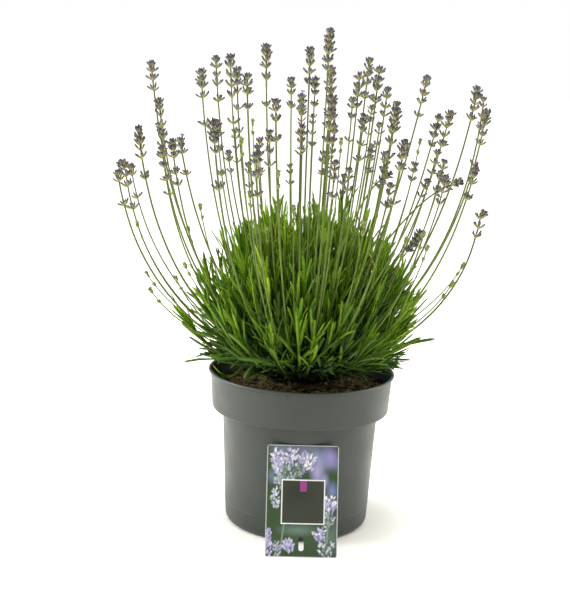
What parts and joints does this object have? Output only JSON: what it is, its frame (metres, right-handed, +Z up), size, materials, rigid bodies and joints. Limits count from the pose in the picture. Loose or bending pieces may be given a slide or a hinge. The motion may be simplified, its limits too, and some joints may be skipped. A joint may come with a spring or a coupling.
{
  "type": "potted lavender",
  "caption": "Flowering lavender plant in a round nursery pot with a stepped collar, with a printed plant card leaning on the pot.",
  "frame": {"origin": "centre of the pot's flat underside, on the surface that it stands on", "axes": "+Z up, -Y towards the front where the card leans, +X to the right seen from the front"},
  "size_m": [0.3718, 0.3276, 0.503],
  "materials": {
    "pot_plastic": "satin",
    "peat": "matte",
    "woody_stem": "matte",
    "foliage": "satin",
    "flower_stem": "satin",
    "printed_card": "satin"
  },
  "bodies": {
    "root": {"pot": "pot_plastic", "potting_soil": "peat", "woody_crown": "woody_stem", "plant_label": "printed_card", "leafy_shoot_01": "foliage", "leafy_shoot_02": "foliage", "leafy_shoot_03": "foliage", "leafy_shoot_04": "foliage", "leafy_shoot_05": "foliage", "leafy_shoot_06": "foliage", "leafy_shoot_07": "foliage", "leafy_shoot_08": "foliage", "leafy_shoot_09": "foliage", "leafy_shoot_10": "foliage", "leafy_shoot_11": "foliage", "leafy_shoot_12": "foliage", "leafy_shoot_13": "foliage", "leafy_shoot_14": "foliage", "leafy_shoot_15": "foliage", "flower_stem_01": "flower_stem", "flower_stem_02": "flower_stem", "flower_stem_03": "flower_stem", "flower_stem_04": "flower_stem", "flower_stem_05": "flower_stem", "flower_stem_06": "flower_stem", "flower_stem_07": "flower_stem", "flower_stem_08": "flower_stem", "flower_stem_09": "flower_stem", "flower_stem_10": "flower_stem", "flower_stem_11": "flower_stem", "flower_stem_12": "flower_stem", "flower_stem_13": "flower_stem", "flower_stem_14": "flower_stem", "flower_stem_15": "flower_stem", "flower_stem_16": "flower_stem", "flower_stem_17": "flower_stem", "flower_stem_18": "flower_stem", "flower_stem_19": "flower_stem", "flower_stem_20": "flower_stem", "flower_stem_21": "flower_stem", "flower_stem_22": "flower_stem", "flower_stem_23": "flower_stem", "flower_stem_24": "flower_stem", "flower_stem_25": "flower_stem", "flower_stem_26": "flower_stem", "flower_stem_27": "flower_stem", "flower_stem_28": "flower_stem", "flower_stem_29": "flower_stem", "flower_stem_30": "flower_stem", "flower_stem_31": "flower_stem", "flower_stem_32": "flower_stem", "flower_stem_33": "flower_stem", "flower_stem_34": "flower_stem", "flower_stem_35": "flower_stem", "flower_stem_36": "flower_stem", "flower_stem_37": "flower_stem", "flower_stem_38": "flower_stem", "flower_stem_39": "flower_stem", "flower_stem_40": "flower_stem", "flower_stem_41": "flower_stem"}
  },
  "joints": []
}
